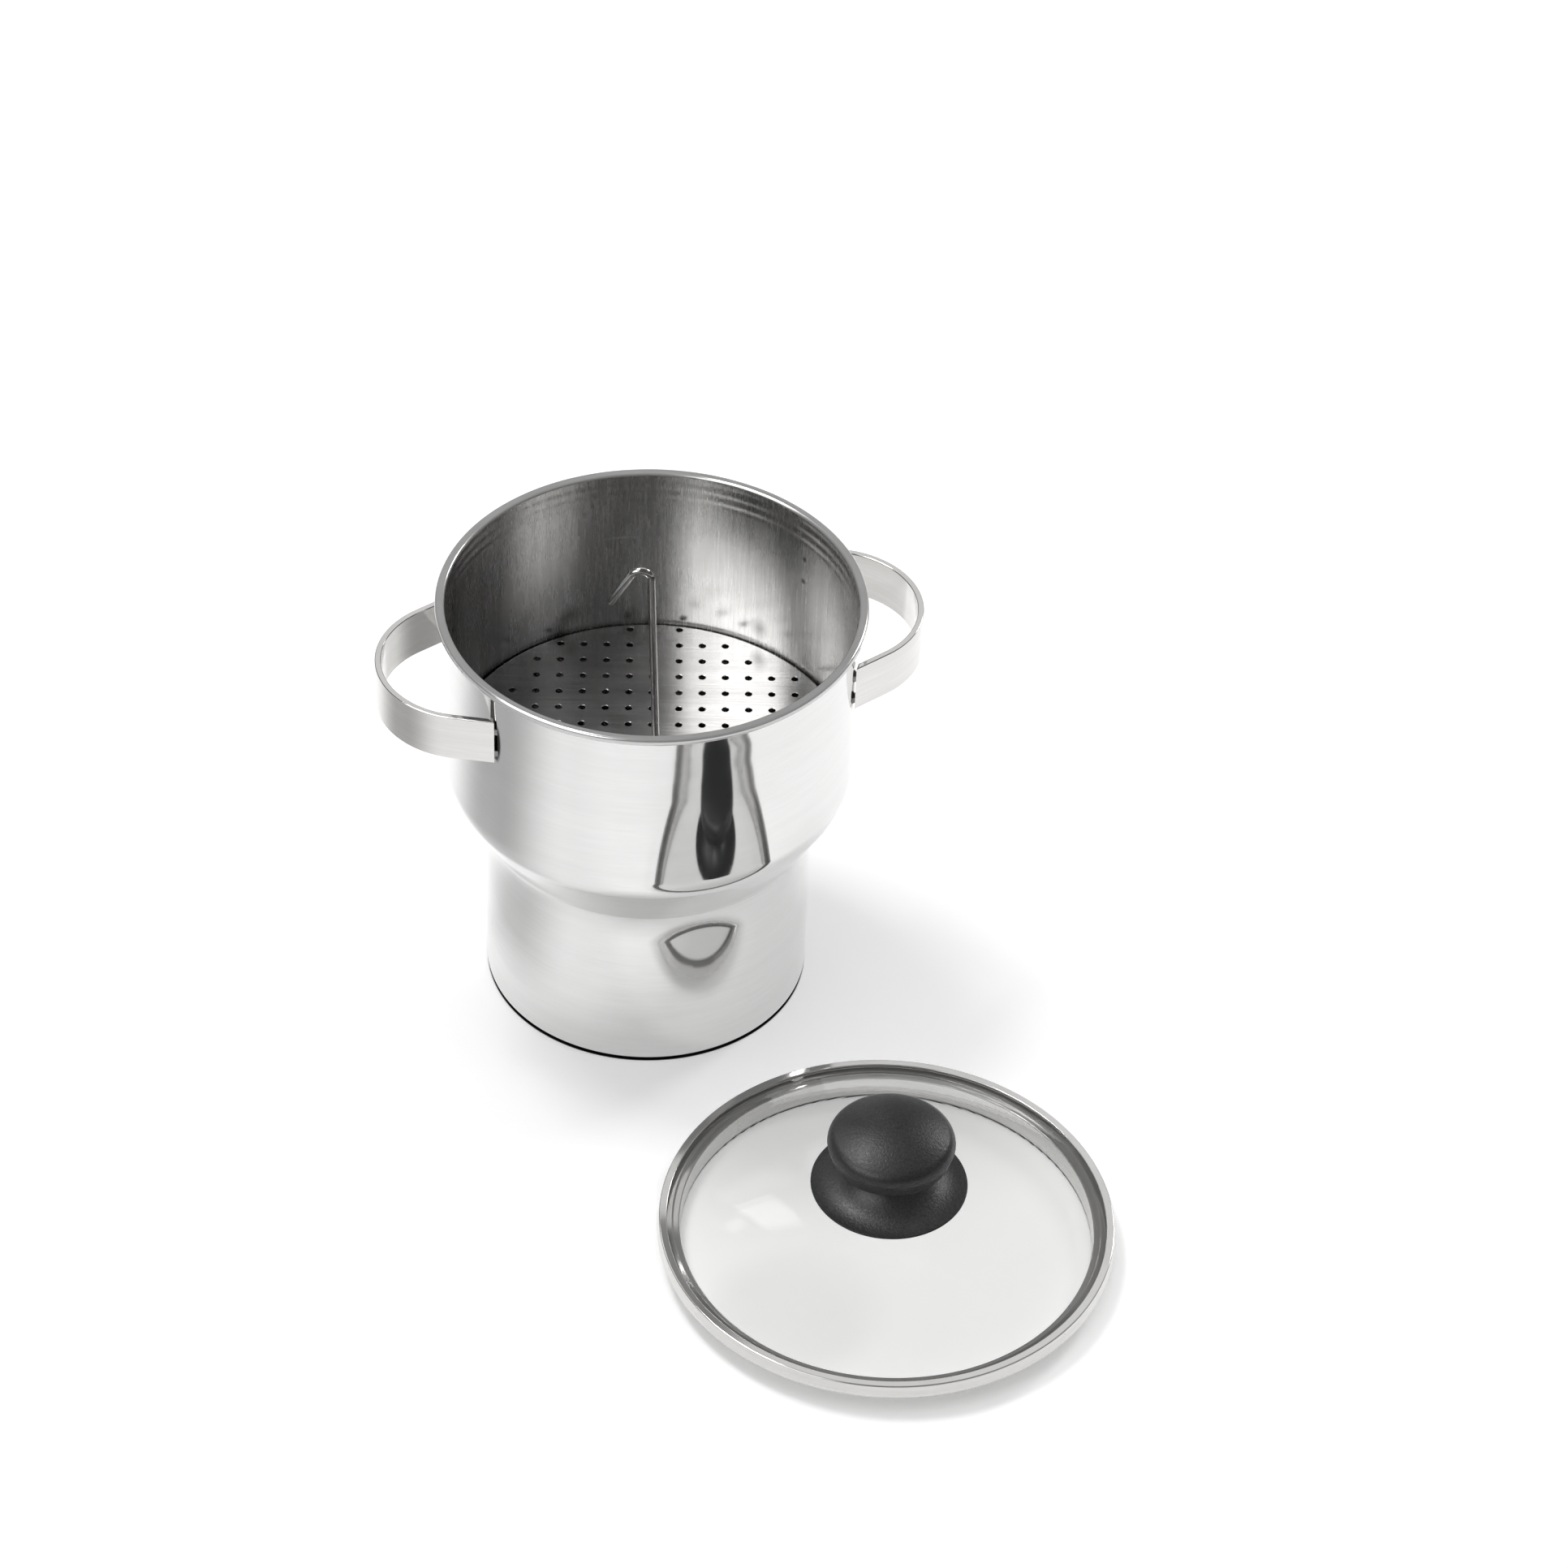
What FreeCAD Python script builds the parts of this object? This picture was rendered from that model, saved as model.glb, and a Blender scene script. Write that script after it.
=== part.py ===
# Egg cooker: a stepped steel pot with two strap handles, a lift-out perforated
# strainer on a wire hook, and a domed glass lid that lies beside the pot.
# Millimetres, +Z up. The origin is the centre of the pot's underside.
# The front is -Y, and the lid lies in front and to the right.

import FreeCAD, Part
import math
import os
from FreeCAD import Vector

# ---- pot ----
potBore = 160.0            # inside diameter of the wide upper chamber
potSheet = 0.8             # sheet of the drawn body
potHeight = 183.7          # floor to top of the rolled rim
chamberStep = 16.1         # how far the narrow lower chamber is set in
baseCorner = 3.0           # outside corner radius at the base
shoulderZ = 109.1          # height at which the upper wall starts to turn in
shoulderRadius = 20.4      # outside radius of the shoulder's curve
neckZ = 78.1               # height of the crease under the shoulder's cone
neckHollow = 50.0          # hollow radius by which the lower wall opens up to the crease
neckTilt = 16.0            # degrees that the wall leans out just under the crease
neckCrease = 3.0           # outside radius of the crease
rimWidth = 3.8             # rolled rim, from the bore outwards
rimDepth = 3.1             # rolled rim, top to bottom
rimEdge = 1.2              # rounding of the rolled rim

# ---- strap handles ----
handleAzimuth = 14.5       # right handle's direction from +X, the left is opposite
strapHeight = 20.0
strapThick = 2.4
strapDrop = 15.7           # top of the rim to the strap's upper edge
bowRadius = 36.5           # outside radius of the bow
bowInset = 8.8             # bow's centre inside the pot's outer face
bowHalfAngle = 67.3        # half of the bow's sweep, where the straight legs begin
strapEdge = 0.4            # softened long edges
weldGap = 0.9              # gap that the weld nuggets bridge
weldHeight = 2.6           # height of one nugget
weldInset = 4.7            # nugget centres from the strap's two long edges

# ---- strainer ----
plateSheet = 0.8
plateClearance = 0.8       # plate edge to the pot's bore, radially
plateBend = 1.2            # outside radius of the turned-down edge
plateRimDepth = 4.0        # depth of the turned-down edge
seatClearance = 0.3        # turned-down edge above the shoulder
holeDia = 2.8
holePitchX = 9.3
holePitchY = 9.95
holeColumnX = 0.6          # centre column
holeSeam = 1.4             # extra gap to the right of the centre column
holeShiftY = 0.7
holeMargin = 3.0           # hole centre to the plate's edge, at least
holesLeftOut = ((5.5, 5), (4.5, -6))   # row and column of two holes never punched

# ---- lift hook ----
wireDia = 3.0
hookFootX = 2.4
hookLean = 2.0             # degrees towards -X, from the top of the straight foot
hookFoot = 4.0             # straight foot above the plate
hookProud = 15.9           # top of the bend above the pot's rim
hookBend = 4.0             # centreline radius of the bend
hookTurn = 147.0           # degrees turned by the bend
hookLeg = 16.2             # straight end after the bend
rivetSpread = 1.1          # wire's end headed over under the plate, beyond the wire
rivetHeight = 1.2
holeClearance = 0.1        # wire or screw to the hole it passes, radially
washerDia = 8.0
washerThick = 0.8

# ---- lid ----
lidAzimuth = -60.0         # direction from the pot to the lid, from +X
lidGap = 16.0              # pot's rim to the lid's band
lidClearance = 0.6         # locating skirt to the pot's bore, radially
ringSheet = 0.7
ringSkirtDrop = 7.8        # skirt below the flange
bandOverhang = 4.5         # foot of the outer band beyond the pot's rim
bandLean = 0.9             # how far the band leans in over its height
lipWidth = 3.0             # lip that holds the glass down
ringEdge = 0.5
glassThick = 4.0
glassEdgeClearance = 0.3
glassFlat = 4.0            # flat border of the glass
domeRise = 21.9            # crown above the flat border
glassHoleClearance = 0.75  # screw to the hole in the glass, radially

# ---- knob and its fastening ----
skirtRadius = 30.0
skirtEdge = 1.2            # upright edge of the skirt
skirtRise = 9.6            # crown of the glass to the joint between skirt and cap
skirtShell = 2.4
flankBow = (0.30, 0.36)    # middle of the skirt's flank, shares of its run and rise
hollowBow = (0.42, 0.68)   # the same for the hollow under it
neckRadius = 10.5
bossRadius = 8.0           # screw boss inside the skirt
hollowGap = 1.2            # hollow's top above the crown of the glass
capRadius = 24.4
capRingRise = 9.8          # joint to the widest ring of the cap
capCrownRise = 9.2         # widest ring to the top of the knob
capCorner = 5.2
capUnderRise = 3.2         # joint to the cap's flat underside
capTaper = 1.5             # underside's edge inside the widest ring
capSoft = 1.6              # rounding of the underside's edge and of the neck
screwDia = 4.0
screwHeadDia = 8.0
screwHeadHeight = 2.4
screwGrip = 9.0            # thread inside the cap
screwWasherDia = 14.0
screwWasherThick = 1.0
sealDia = 16.0
sealThick = 1.5

# ---- sizes that follow ----
boreRadius = potBore / 2
upperRadius = boreRadius + potSheet
lowerRadius = upperRadius - chamberStep
rimRadius = boreRadius + rimWidth
shoulderCentre = (upperRadius - shoulderRadius, shoulderZ)
plateRadius = boreRadius - plateClearance
strapBottomZ = potHeight - strapDrop - strapHeight
bowCentre = upperRadius - bowInset
weldRises = (weldInset, strapHeight - weldInset)
rivetRadius = wireDia / 2 + rivetSpread
bandRadius = rimRadius + bandOverhang
glassZ = ringSkirtDrop + ringSheet
glassTopZ = glassZ + glassThick
bandTopZ = glassTopZ + ringSheet
glassRadius = bandRadius - ringSheet - bandLean - glassEdgeClearance
domeRadius = glassRadius - glassFlat
glassHole = screwDia / 2 + glassHoleClearance
crownZ = glassTopZ + domeRise
skirtTopZ = crownZ + skirtRise
capRingZ = skirtTopZ + capRingRise
capTopZ = capRingZ + capCrownRise
capUnderZ = skirtTopZ + capUnderRise
capUnderRadius = capRadius - capTaper
lidReach = rimRadius + lidGap + bandRadius


def at(r, z):
    return Vector(r, 0, z)


def polar(centre, radius, degrees):
    a = math.radians(degrees)
    return (centre[0] + radius * math.cos(a), centre[1] + radius * math.sin(a))


def line(p, q):
    return Part.LineSegment(at(*p), at(*q)).toShape()


def arc(centre, radius, start, end):
    # Arc in the section plane between two directions given in degrees.
    p = polar(centre, radius, start)
    m = polar(centre, radius, (start + end) / 2)
    q = polar(centre, radius, end)
    return Part.Arc(at(*p), at(*m), at(*q)).toShape()


def revolve(edges):
    # Full turn about the Z axis of the closed section that the edges make.
    wire = Part.Wire(Part.__sortEdges__(edges))
    return Part.Face(wire).revolve(Vector(0, 0, 0), Vector(0, 0, 1), 360)


def softSection(corners):
    # Edges of a closed polygon of (r, z, rounding) corners.
    edges = []
    ends = []
    count = len(corners)
    for i in range(count):
        r, z, rounding = corners[i]
        here = Vector(r, 0, z)
        before = at(*corners[i - 1][:2]) - here
        after = at(*corners[(i + 1) % count][:2]) - here
        before.normalize()
        after.normalize()
        if rounding <= 0:
            ends.append((here, here))
            continue
        half = before.getAngle(after) / 2
        reach = rounding / math.tan(half)
        inward = (before + after).normalize()
        middle = here + inward * (rounding / math.sin(half) - rounding)
        p = here + before * reach
        q = here + after * reach
        edges.append(Part.Arc(p, middle, q).toShape())
        ends.append((p, q))
    for i in range(count):
        p = ends[i][1]
        q = ends[(i + 1) % count][0]
        if p.distanceToPoint(q) > 1e-6:
            edges.append(Part.LineSegment(p, q).toShape())
    return edges


def turned(corners):
    return revolve(softSection(corners))


def tube(outer, inner, z0, height, x=0, y=0):
    ring = Part.makeCylinder(outer, height, Vector(x, y, z0))
    return ring.cut(Part.makeCylinder(inner, height, Vector(x, y, z0)))


def neckCentres():
    # Centres of the two hollows of the neck, and the lean of the cone that runs
    # from the crease to the shoulder and touches both.
    tilt = math.radians(neckTilt)
    hollow = (lowerRadius + neckHollow, neckZ - neckHollow * math.sin(tilt))
    back = neckHollow - neckCrease
    crease = (hollow[0] - back * math.cos(tilt), hollow[1] + back * math.sin(tilt))
    run = crease[0] - shoulderCentre[0]
    drop = shoulderCentre[1] - crease[1]
    reach = math.hypot(run, drop)
    lean = math.atan2(drop, run) - math.acos((shoulderRadius + neckCrease) / reach)
    return hollow, crease, math.degrees(lean)


def potWall(inset, topZ):
    # Section edges of the pot's surface, inset from the outside, axis to top.
    hollow, crease, lean = neckCentres()
    corner = (lowerRadius - baseCorner, baseCorner)
    wallR = lowerRadius - inset
    upperR = upperRadius - inset
    bottom = polar(crease, neckCrease + inset, 180 - lean)
    top = polar(shoulderCentre, shoulderRadius - inset, -lean)
    return [
        line((0, inset), (corner[0], inset)),
        arc(corner, baseCorner - inset, -90, 0),
        line((wallR, corner[1]), (wallR, hollow[1])),
        arc(hollow, neckHollow + inset, 180, 180 - neckTilt),
        arc(crease, neckCrease + inset, 180 - neckTilt, 180 - lean),
        line(bottom, top),
        arc(shoulderCentre, shoulderRadius - inset, -lean, 0),
        line((upperR, shoulderZ), (upperR, topZ)),
    ]


def potBody():
    rimFoot = potHeight - rimDepth
    rimOut = rimRadius
    edge = rimEdge
    outside = potWall(0, rimFoot)
    inside = potWall(potSheet, potHeight - edge)
    rim = [
        line((upperRadius, rimFoot), (rimOut - edge, rimFoot)),
        arc((rimOut - edge, rimFoot + edge), edge, -90, 0),
        line((rimOut, rimFoot + edge), (rimOut, potHeight - edge)),
        arc((rimOut - edge, potHeight - edge), edge, 0, 90),
        line((rimOut - edge, potHeight), (boreRadius + edge, potHeight)),
        arc((boreRadius + edge, potHeight - edge), edge, 90, 180),
    ]
    return revolve(outside + rim + inside + [line((0, 0), (0, potSheet))])


def strapBar():
    # Strap loop along +X, its legs running on into the pot's wall.
    a = math.radians(bowHalfAngle)
    legLength = 1.5 * bowRadius

    def side(radius):
        top = Vector(bowCentre + radius * math.cos(a), radius * math.sin(a), 0)
        leg = top + Vector(-math.sin(a), math.cos(a), 0) * legLength
        low = Vector(top.x, -top.y, 0)
        lowLeg = Vector(leg.x, -leg.y, 0)
        crown = Vector(bowCentre + radius, 0, 0)
        return leg, top, crown, low, lowLeg

    o = side(bowRadius)
    i = side(bowRadius - strapThick)
    edges = [
        Part.LineSegment(o[0], o[1]).toShape(),
        Part.Arc(o[1], o[2], o[3]).toShape(),
        Part.LineSegment(o[3], o[4]).toShape(),
        Part.LineSegment(o[4], i[4]).toShape(),
        Part.LineSegment(i[4], i[3]).toShape(),
        Part.Arc(i[3], i[2], i[1]).toShape(),
        Part.LineSegment(i[1], i[0]).toShape(),
        Part.LineSegment(i[0], o[0]).toShape(),
    ]
    bar = Part.Face(Part.Wire(edges)).extrude(Vector(0, 0, strapHeight))
    bar.translate(Vector(0, 0, strapBottomZ))
    return bar


def handle(azimuth):
    bar = strapBar()
    soft = []
    for e in bar.Edges:
        level = abs(e.BoundBox.ZMax - e.BoundBox.ZMin) < 1e-6
        nearEnd = e.BoundBox.XMax < bowCentre
        if level and not nearEnd:
            soft.append(e)
    bar = bar.makeFillet(strapEdge, soft)
    core = Part.makeCylinder(upperRadius + weldGap, potHeight)
    loop = bar.cut(core)
    loop.rotate(Vector(0, 0, 0), Vector(0, 0, 1), azimuth)
    return loop


def handleWelds(azimuth):
    # Four weld nuggets that join one strap's two ends to the wall.
    bar = strapBar()
    nuggets = []
    for rise in weldRises:
        z0 = strapBottomZ + rise - weldHeight / 2
        ring = tube(upperRadius + weldGap, upperRadius, z0, weldHeight)
        nuggets += bar.common(ring).Solids
    group = Part.makeCompound([n for n in nuggets if n.BoundBox.XMin > 0])
    group.rotate(Vector(0, 0, 0), Vector(0, 0, 1), azimuth)
    return group


def plateTop():
    # Height of the plate's upper face when its edge rests on the shoulder.
    run = plateRadius - shoulderCentre[0]
    inner = shoulderRadius - potSheet
    drop = math.sqrt(inner ** 2 - run ** 2)
    return shoulderZ - drop + seatClearance + plateRimDepth


def strainerHoles():
    # Centres of the punched holes.
    centres = []
    reach = plateRadius - holeMargin
    rows = int(reach / holePitchY) + 1
    columns = int(reach / holePitchX) + 1
    for step in range(-rows, rows):
        row = step + 0.5
        y = row * holePitchY + holeShiftY
        for column in range(-columns, columns + 1):
            x = holeColumnX + column * holePitchX
            if column > 0:
                x += holeSeam
            underWasher = math.hypot(x - hookFootX, y) < washerDia / 2 + holeDia
            if math.hypot(x, y) > reach or underWasher:
                continue
            if (row, column) in holesLeftOut:
                continue
            centres.append((x, y))
    return centres


def strainerPlate():
    top = plateTop()
    foot = top - plateRimDepth
    under = top - plateSheet
    wall = plateRadius - plateSheet
    plate = turned([
        (0, top, 0),
        (plateRadius, top, plateBend),
        (plateRadius, foot, 0),
        (wall, foot, 0),
        (wall, under, plateBend - plateSheet),
        (0, under, 0),
    ])
    tools = []
    for x, y in strainerHoles():
        tools.append(Part.makeCylinder(holeDia / 2, 3 * plateSheet, Vector(x, y, under - plateSheet)))
    footHole = wireDia / 2 + holeClearance
    tools.append(Part.makeCylinder(footHole, 3 * plateSheet, Vector(hookFootX, 0, under - plateSheet)))
    return plate.cut(Part.makeCompound(tools))


def liftHook():
    # Bent wire with a headed-over foot, in one piece.
    top = plateTop()
    headTop = top - plateSheet - washerThick
    rise = potHeight + hookProud - wireDia / 2 - hookBend - top - hookFoot
    kink = Vector(hookFootX, 0, top + hookFoot)
    r = wireDia / 2
    foot = Part.makeCylinder(r, kink.z - headTop, Vector(hookFootX, 0, headTop))
    head = Part.makeCylinder(rivetRadius, rivetHeight, Vector(hookFootX, 0, headTop - rivetHeight))
    head = head.makeFillet(rivetHeight / 3, [head.Edges[2]])
    bendStart = Vector(0, 0, rise)
    centre = Vector(-hookBend, 0, rise)
    turn = math.radians(hookTurn)
    middle = centre + Vector(math.cos(turn / 2), 0, math.sin(turn / 2)) * hookBend
    bendEnd = centre + Vector(math.cos(turn), 0, math.sin(turn)) * hookBend
    tip = bendEnd + Vector(-math.sin(turn), 0, math.cos(turn)) * hookLeg
    path = Part.Wire([
        Part.LineSegment(Vector(0, 0, 0), bendStart).toShape(),
        Part.Arc(bendStart, middle, bendEnd).toShape(),
        Part.LineSegment(bendEnd, tip).toShape(),
    ])
    section = Part.Wire(Part.makeCircle(r, Vector(0, 0, 0), Vector(0, 0, 1)))
    wire = path.makePipeShell([section], True, True)
    wire.rotate(Vector(0, 0, 0), Vector(0, 1, 0), -hookLean)
    wire.translate(kink)
    knee = Part.makeSphere(r, kink)
    return wire.fuse([knee, foot, head]).removeSplitter()


def hookWasher(z0):
    return tube(washerDia / 2, wireDia / 2, z0, washerThick, hookFootX, 0)


def placeLid(shape):
    x, y = polar((0, 0), lidReach, lidAzimuth)
    shape.translate(Vector(x, y, 0))
    return shape


def domeSphere():
    # Radius of the glass's upper face.
    return (domeRadius ** 2 + domeRise ** 2) / (2 * domeRise)


def domeZ(r, inset=0):
    # Height of the dome's surface at a radius, inset from the upper face.
    radius = domeSphere()
    centreZ = crownZ - radius
    return centreZ + math.sqrt((radius - inset) ** 2 - r ** 2)


def lidGlass():
    radius = domeSphere()
    centre = (0, crownZ - radius)
    rim = math.degrees(math.atan2(glassTopZ - centre[1], domeRadius))
    inner = radius - glassThick
    innerFlat = math.sqrt(inner ** 2 - (glassZ - centre[1]) ** 2)
    innerRim = math.degrees(math.atan2(glassZ - centre[1], innerFlat))
    hole = glassHole
    topHole = math.degrees(math.acos(hole / radius))
    lowHole = math.degrees(math.acos(hole / inner))
    edges = [
        arc(centre, radius, topHole, rim),
        line((domeRadius, glassTopZ), (glassRadius, glassTopZ)),
        line((glassRadius, glassTopZ), (glassRadius, glassZ)),
        line((glassRadius, glassZ), (innerFlat, glassZ)),
        arc(centre, inner, innerRim, lowHole),
        line((hole, domeZ(hole, glassThick)), (hole, domeZ(hole))),
    ]
    return placeLid(revolve(edges))


def lidRing():
    outer = boreRadius - lidClearance
    inner = outer - ringSheet
    bandTop = bandRadius - bandLean
    lipInner = bandTop - lipWidth
    ring = turned([
        (inner, 0, 0),
        (outer, 0, 0),
        (outer, ringSkirtDrop, 0),
        (bandRadius, ringSkirtDrop, ringEdge),
        (bandTop, bandTopZ, ringEdge),
        (lipInner, bandTopZ, 0),
        (lipInner, bandTopZ - ringSheet, 0),
        (bandTop - ringSheet, bandTopZ - ringSheet, 0),
        (bandRadius - ringSheet, glassZ, 0),
        (inner, glassZ, ringEdge),
    ])
    return placeLid(ring)


def bowed(high, low, bow):
    # Arc from a high inner point to a low outer one through a middle given in shares.
    r = high[0] + bow[0] * (low[0] - high[0])
    z = low[1] + bow[1] * (high[1] - low[1])
    return Part.Arc(at(*high), at(r, z), at(*low)).toShape()


def knobSkirt():
    bore = screwDia / 2 + holeClearance
    boss = domeZ(bore)
    edgeZ = domeZ(skirtRadius)
    hollowOut = skirtRadius - skirtShell
    hollowTop = boss + hollowGap
    hollowFoot = (hollowOut, domeZ(hollowOut))
    flank = bowed((neckRadius, skirtTopZ), (skirtRadius, edgeZ + skirtEdge), flankBow)
    hollow = bowed((neckRadius, hollowTop), hollowFoot, hollowBow)
    edges = [
        line((bore, boss), (bore, skirtTopZ)),
        line((bore, skirtTopZ), (neckRadius, skirtTopZ)),
        flank,
        line((skirtRadius, edgeZ + skirtEdge), (skirtRadius, edgeZ)),
        line((skirtRadius, edgeZ), hollowFoot),
        hollow,
        line((neckRadius, hollowTop), (bossRadius, hollowTop)),
        line((bossRadius, hollowTop), (bossRadius, boss)),
        line((bossRadius, boss), (bore, boss)),
    ]
    return placeLid(revolve(edges))


def knobCap():
    # Rounded cap: a corner curve runs tangent into a wide crown.
    cornerR = capRadius - capCorner
    rise = capTopZ - capRingZ
    slack = rise - capCorner
    depth = (cornerR ** 2 - slack ** 2) / (2 * slack)
    crown = rise + depth
    crownCentre = (0, capRingZ - depth)
    lean = math.degrees(math.atan2(depth, cornerR))
    bore = screwDia / 2
    boreTop = skirtTopZ + screwGrip
    edges = [
        line((0, boreTop), (0, capTopZ)),
        arc(crownCentre, crown, 90, lean),
        arc((cornerR, capRingZ), capCorner, lean, 0),
        line((capRadius, capRingZ), (capUnderRadius, capUnderZ + capSoft)),
        arc((capUnderRadius - capSoft, capUnderZ + capSoft), capSoft, 0, -90),
        line((capUnderRadius - capSoft, capUnderZ), (neckRadius + capSoft, capUnderZ)),
        arc((neckRadius + capSoft, capUnderZ - capSoft), capSoft, 90, 180),
        line((neckRadius, capUnderZ - capSoft), (neckRadius, skirtTopZ)),
        line((neckRadius, skirtTopZ), (bore, skirtTopZ)),
        line((bore, skirtTopZ), (bore, boreTop)),
        line((bore, boreTop), (0, boreTop)),
    ]
    return placeLid(revolve(edges))


def sealTop():
    return domeZ(sealDia / 2, glassThick)


def screwSeal():
    return placeLid(tube(sealDia / 2, screwDia / 2, sealTop() - sealThick, sealThick))


def screwWasher():
    z0 = sealTop() - sealThick - screwWasherThick
    return placeLid(tube(screwWasherDia / 2, screwDia / 2, z0, screwWasherThick))


def knobScrew():
    headTop = sealTop() - sealThick - screwWasherThick
    headFoot = headTop - screwHeadHeight
    tip = skirtTopZ + screwGrip
    head = Part.makeCylinder(screwHeadDia / 2, screwHeadHeight, Vector(0, 0, headFoot))
    head = head.makeFillet(screwHeadHeight / 4, [head.Edges[2]])
    slotWide = screwDia / 4
    slotDeep = screwHeadHeight / 2
    slot = Part.makeBox(slotWide, screwHeadDia, slotDeep, Vector(-slotWide / 2, -screwHeadDia / 2, headFoot))
    head = head.cut(slot).cut(slot.rotated(Vector(0, 0, 0), Vector(0, 0, 1), 90))
    shank = Part.makeCylinder(screwDia / 2, tip - headTop, Vector(0, 0, headTop))
    return placeLid(head.fuse(shank).removeSplitter())


def save(name, shape):
    print(name, "valid", shape.isValid(), "solids", len(shape.Solids), "volume", round(shape.Volume, 1))
    shape.exportStep("parts/" + name + ".step")


os.makedirs("parts", exist_ok=True)
save("pot_body", potBody())
save("handle_right", handle(handleAzimuth))
save("handle_left", handle(handleAzimuth + 180))
save("handle_right_welds", handleWelds(handleAzimuth))
save("handle_left_welds", handleWelds(handleAzimuth + 180))
save("strainer_plate", strainerPlate())
save("lift_hook", liftHook())
save("hook_washer_upper", hookWasher(plateTop()))
save("hook_washer_lower", hookWasher(plateTop() - plateSheet - washerThick))
save("lid_glass", lidGlass())
save("lid_ring", lidRing())
save("knob_cap", knobCap())
save("knob_skirt", knobSkirt())
save("knob_screw", knobScrew())
save("screw_washer", screwWasher())
save("screw_seal", screwSeal())
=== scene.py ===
# Egg cooker dressed for rendering: a polished steel pot with strap handles, a brushed
# strainer on its wire hook, and a clear glass lid with a black knob beside the pot.
# Metres, +Z up. The section sizes below are in millimetres and become metres in "mm".
import math

import bpy
import bmesh
from mathutils import Matrix, Vector, noise
from mathutils.geometry import delaunay_2d_cdt


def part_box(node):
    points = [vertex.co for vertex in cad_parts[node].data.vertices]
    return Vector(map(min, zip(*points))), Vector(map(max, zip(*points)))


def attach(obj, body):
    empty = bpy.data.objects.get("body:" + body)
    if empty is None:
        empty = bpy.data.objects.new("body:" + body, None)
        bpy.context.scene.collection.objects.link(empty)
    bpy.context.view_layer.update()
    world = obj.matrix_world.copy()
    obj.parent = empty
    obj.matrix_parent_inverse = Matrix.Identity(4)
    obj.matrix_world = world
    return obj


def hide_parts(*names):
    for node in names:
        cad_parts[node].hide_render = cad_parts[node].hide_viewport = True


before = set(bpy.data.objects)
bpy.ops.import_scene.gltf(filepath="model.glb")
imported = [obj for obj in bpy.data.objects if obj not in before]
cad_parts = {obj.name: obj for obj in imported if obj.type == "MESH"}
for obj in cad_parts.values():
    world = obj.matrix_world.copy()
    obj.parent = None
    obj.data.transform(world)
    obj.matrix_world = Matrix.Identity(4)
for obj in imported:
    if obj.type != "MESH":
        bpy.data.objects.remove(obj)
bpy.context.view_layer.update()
scene = bpy.context.scene
mm = 0.001
print("frame loaded,", len(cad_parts), "nodes")


def bend(centre, radius, start, end, steps=10):
    # points of an arc in the section plane, between two directions in degrees
    points = []
    for i in range(steps + 1):
        a = math.radians(start + (end - start) * i / steps)
        points.append((centre[0] + radius * math.cos(a), centre[1] + radius * math.sin(a)))
    return points


def bowed(high, low, bow, steps=24):
    # arc through a middle point that is given as shares of the run and the rise
    mid = Vector((high[0] + bow[0] * (low[0] - high[0]), low[1] + bow[1] * (high[1] - low[1])))
    a, c = Vector(high), Vector(low)
    d = 2 * (a.x * (mid.y - c.y) + mid.x * (c.y - a.y) + c.x * (a.y - mid.y))
    ux = (a.dot(a) * (mid.y - c.y) + mid.dot(mid) * (c.y - a.y) + c.dot(c) * (a.y - mid.y)) / d
    uy = (a.dot(a) * (c.x - mid.x) + mid.dot(mid) * (a.x - c.x) + c.dot(c) * (mid.x - a.x)) / d
    start = math.degrees(math.atan2(a.y - uy, a.x - ux)) % 360
    end = math.degrees(math.atan2(c.y - uy, c.x - ux)) % 360
    return bend((ux, uy), (a - Vector((ux, uy))).length, start, end, steps)


def softened(corners, steps=5):
    # closed section from (r, z, rounding) corners
    points = []
    count = len(corners)
    for i in range(count):
        r, z, rounding = corners[i]
        here = Vector((r, z))
        if rounding <= 0:
            points.append((r, z))
            continue
        before = (Vector(corners[i - 1][:2]) - here).normalized()
        after = (Vector(corners[(i + 1) % count][:2]) - here).normalized()
        half = before.angle(after) / 2
        reach = rounding / math.tan(half)
        centre = here + (before + after).normalized() * (rounding / math.sin(half))
        p = here + before * reach - centre
        q = here + after * reach - centre
        sweep = p.angle_signed(q)
        for k in range(steps + 1):
            t = -sweep * k / steps
            turn = Vector((p.x * math.cos(t) - p.y * math.sin(t), p.x * math.sin(t) + p.y * math.cos(t)))
            points.append(tuple(centre + turn))
    return points


def supported(points, near=0.2, closed=True):
    # adds a point close to both ends of each long run, which keeps its shading straight
    out = []
    count = len(points)
    for i in range(count):
        p = Vector(points[i])
        out.append(tuple(p))
        if i == count - 1 and not closed:
            break
        q = Vector(points[(i + 1) % count])
        run = (q - p).length
        if run > 6 * near:
            step = (q - p) / run * near
            out.append(tuple(p + step))
            out.append(tuple(q - step))
    return out


def smoothMesh(mesh, crease):
    mesh.shade_smooth()
    mesh.set_sharp_from_angle(angle=math.radians(crease))


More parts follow.
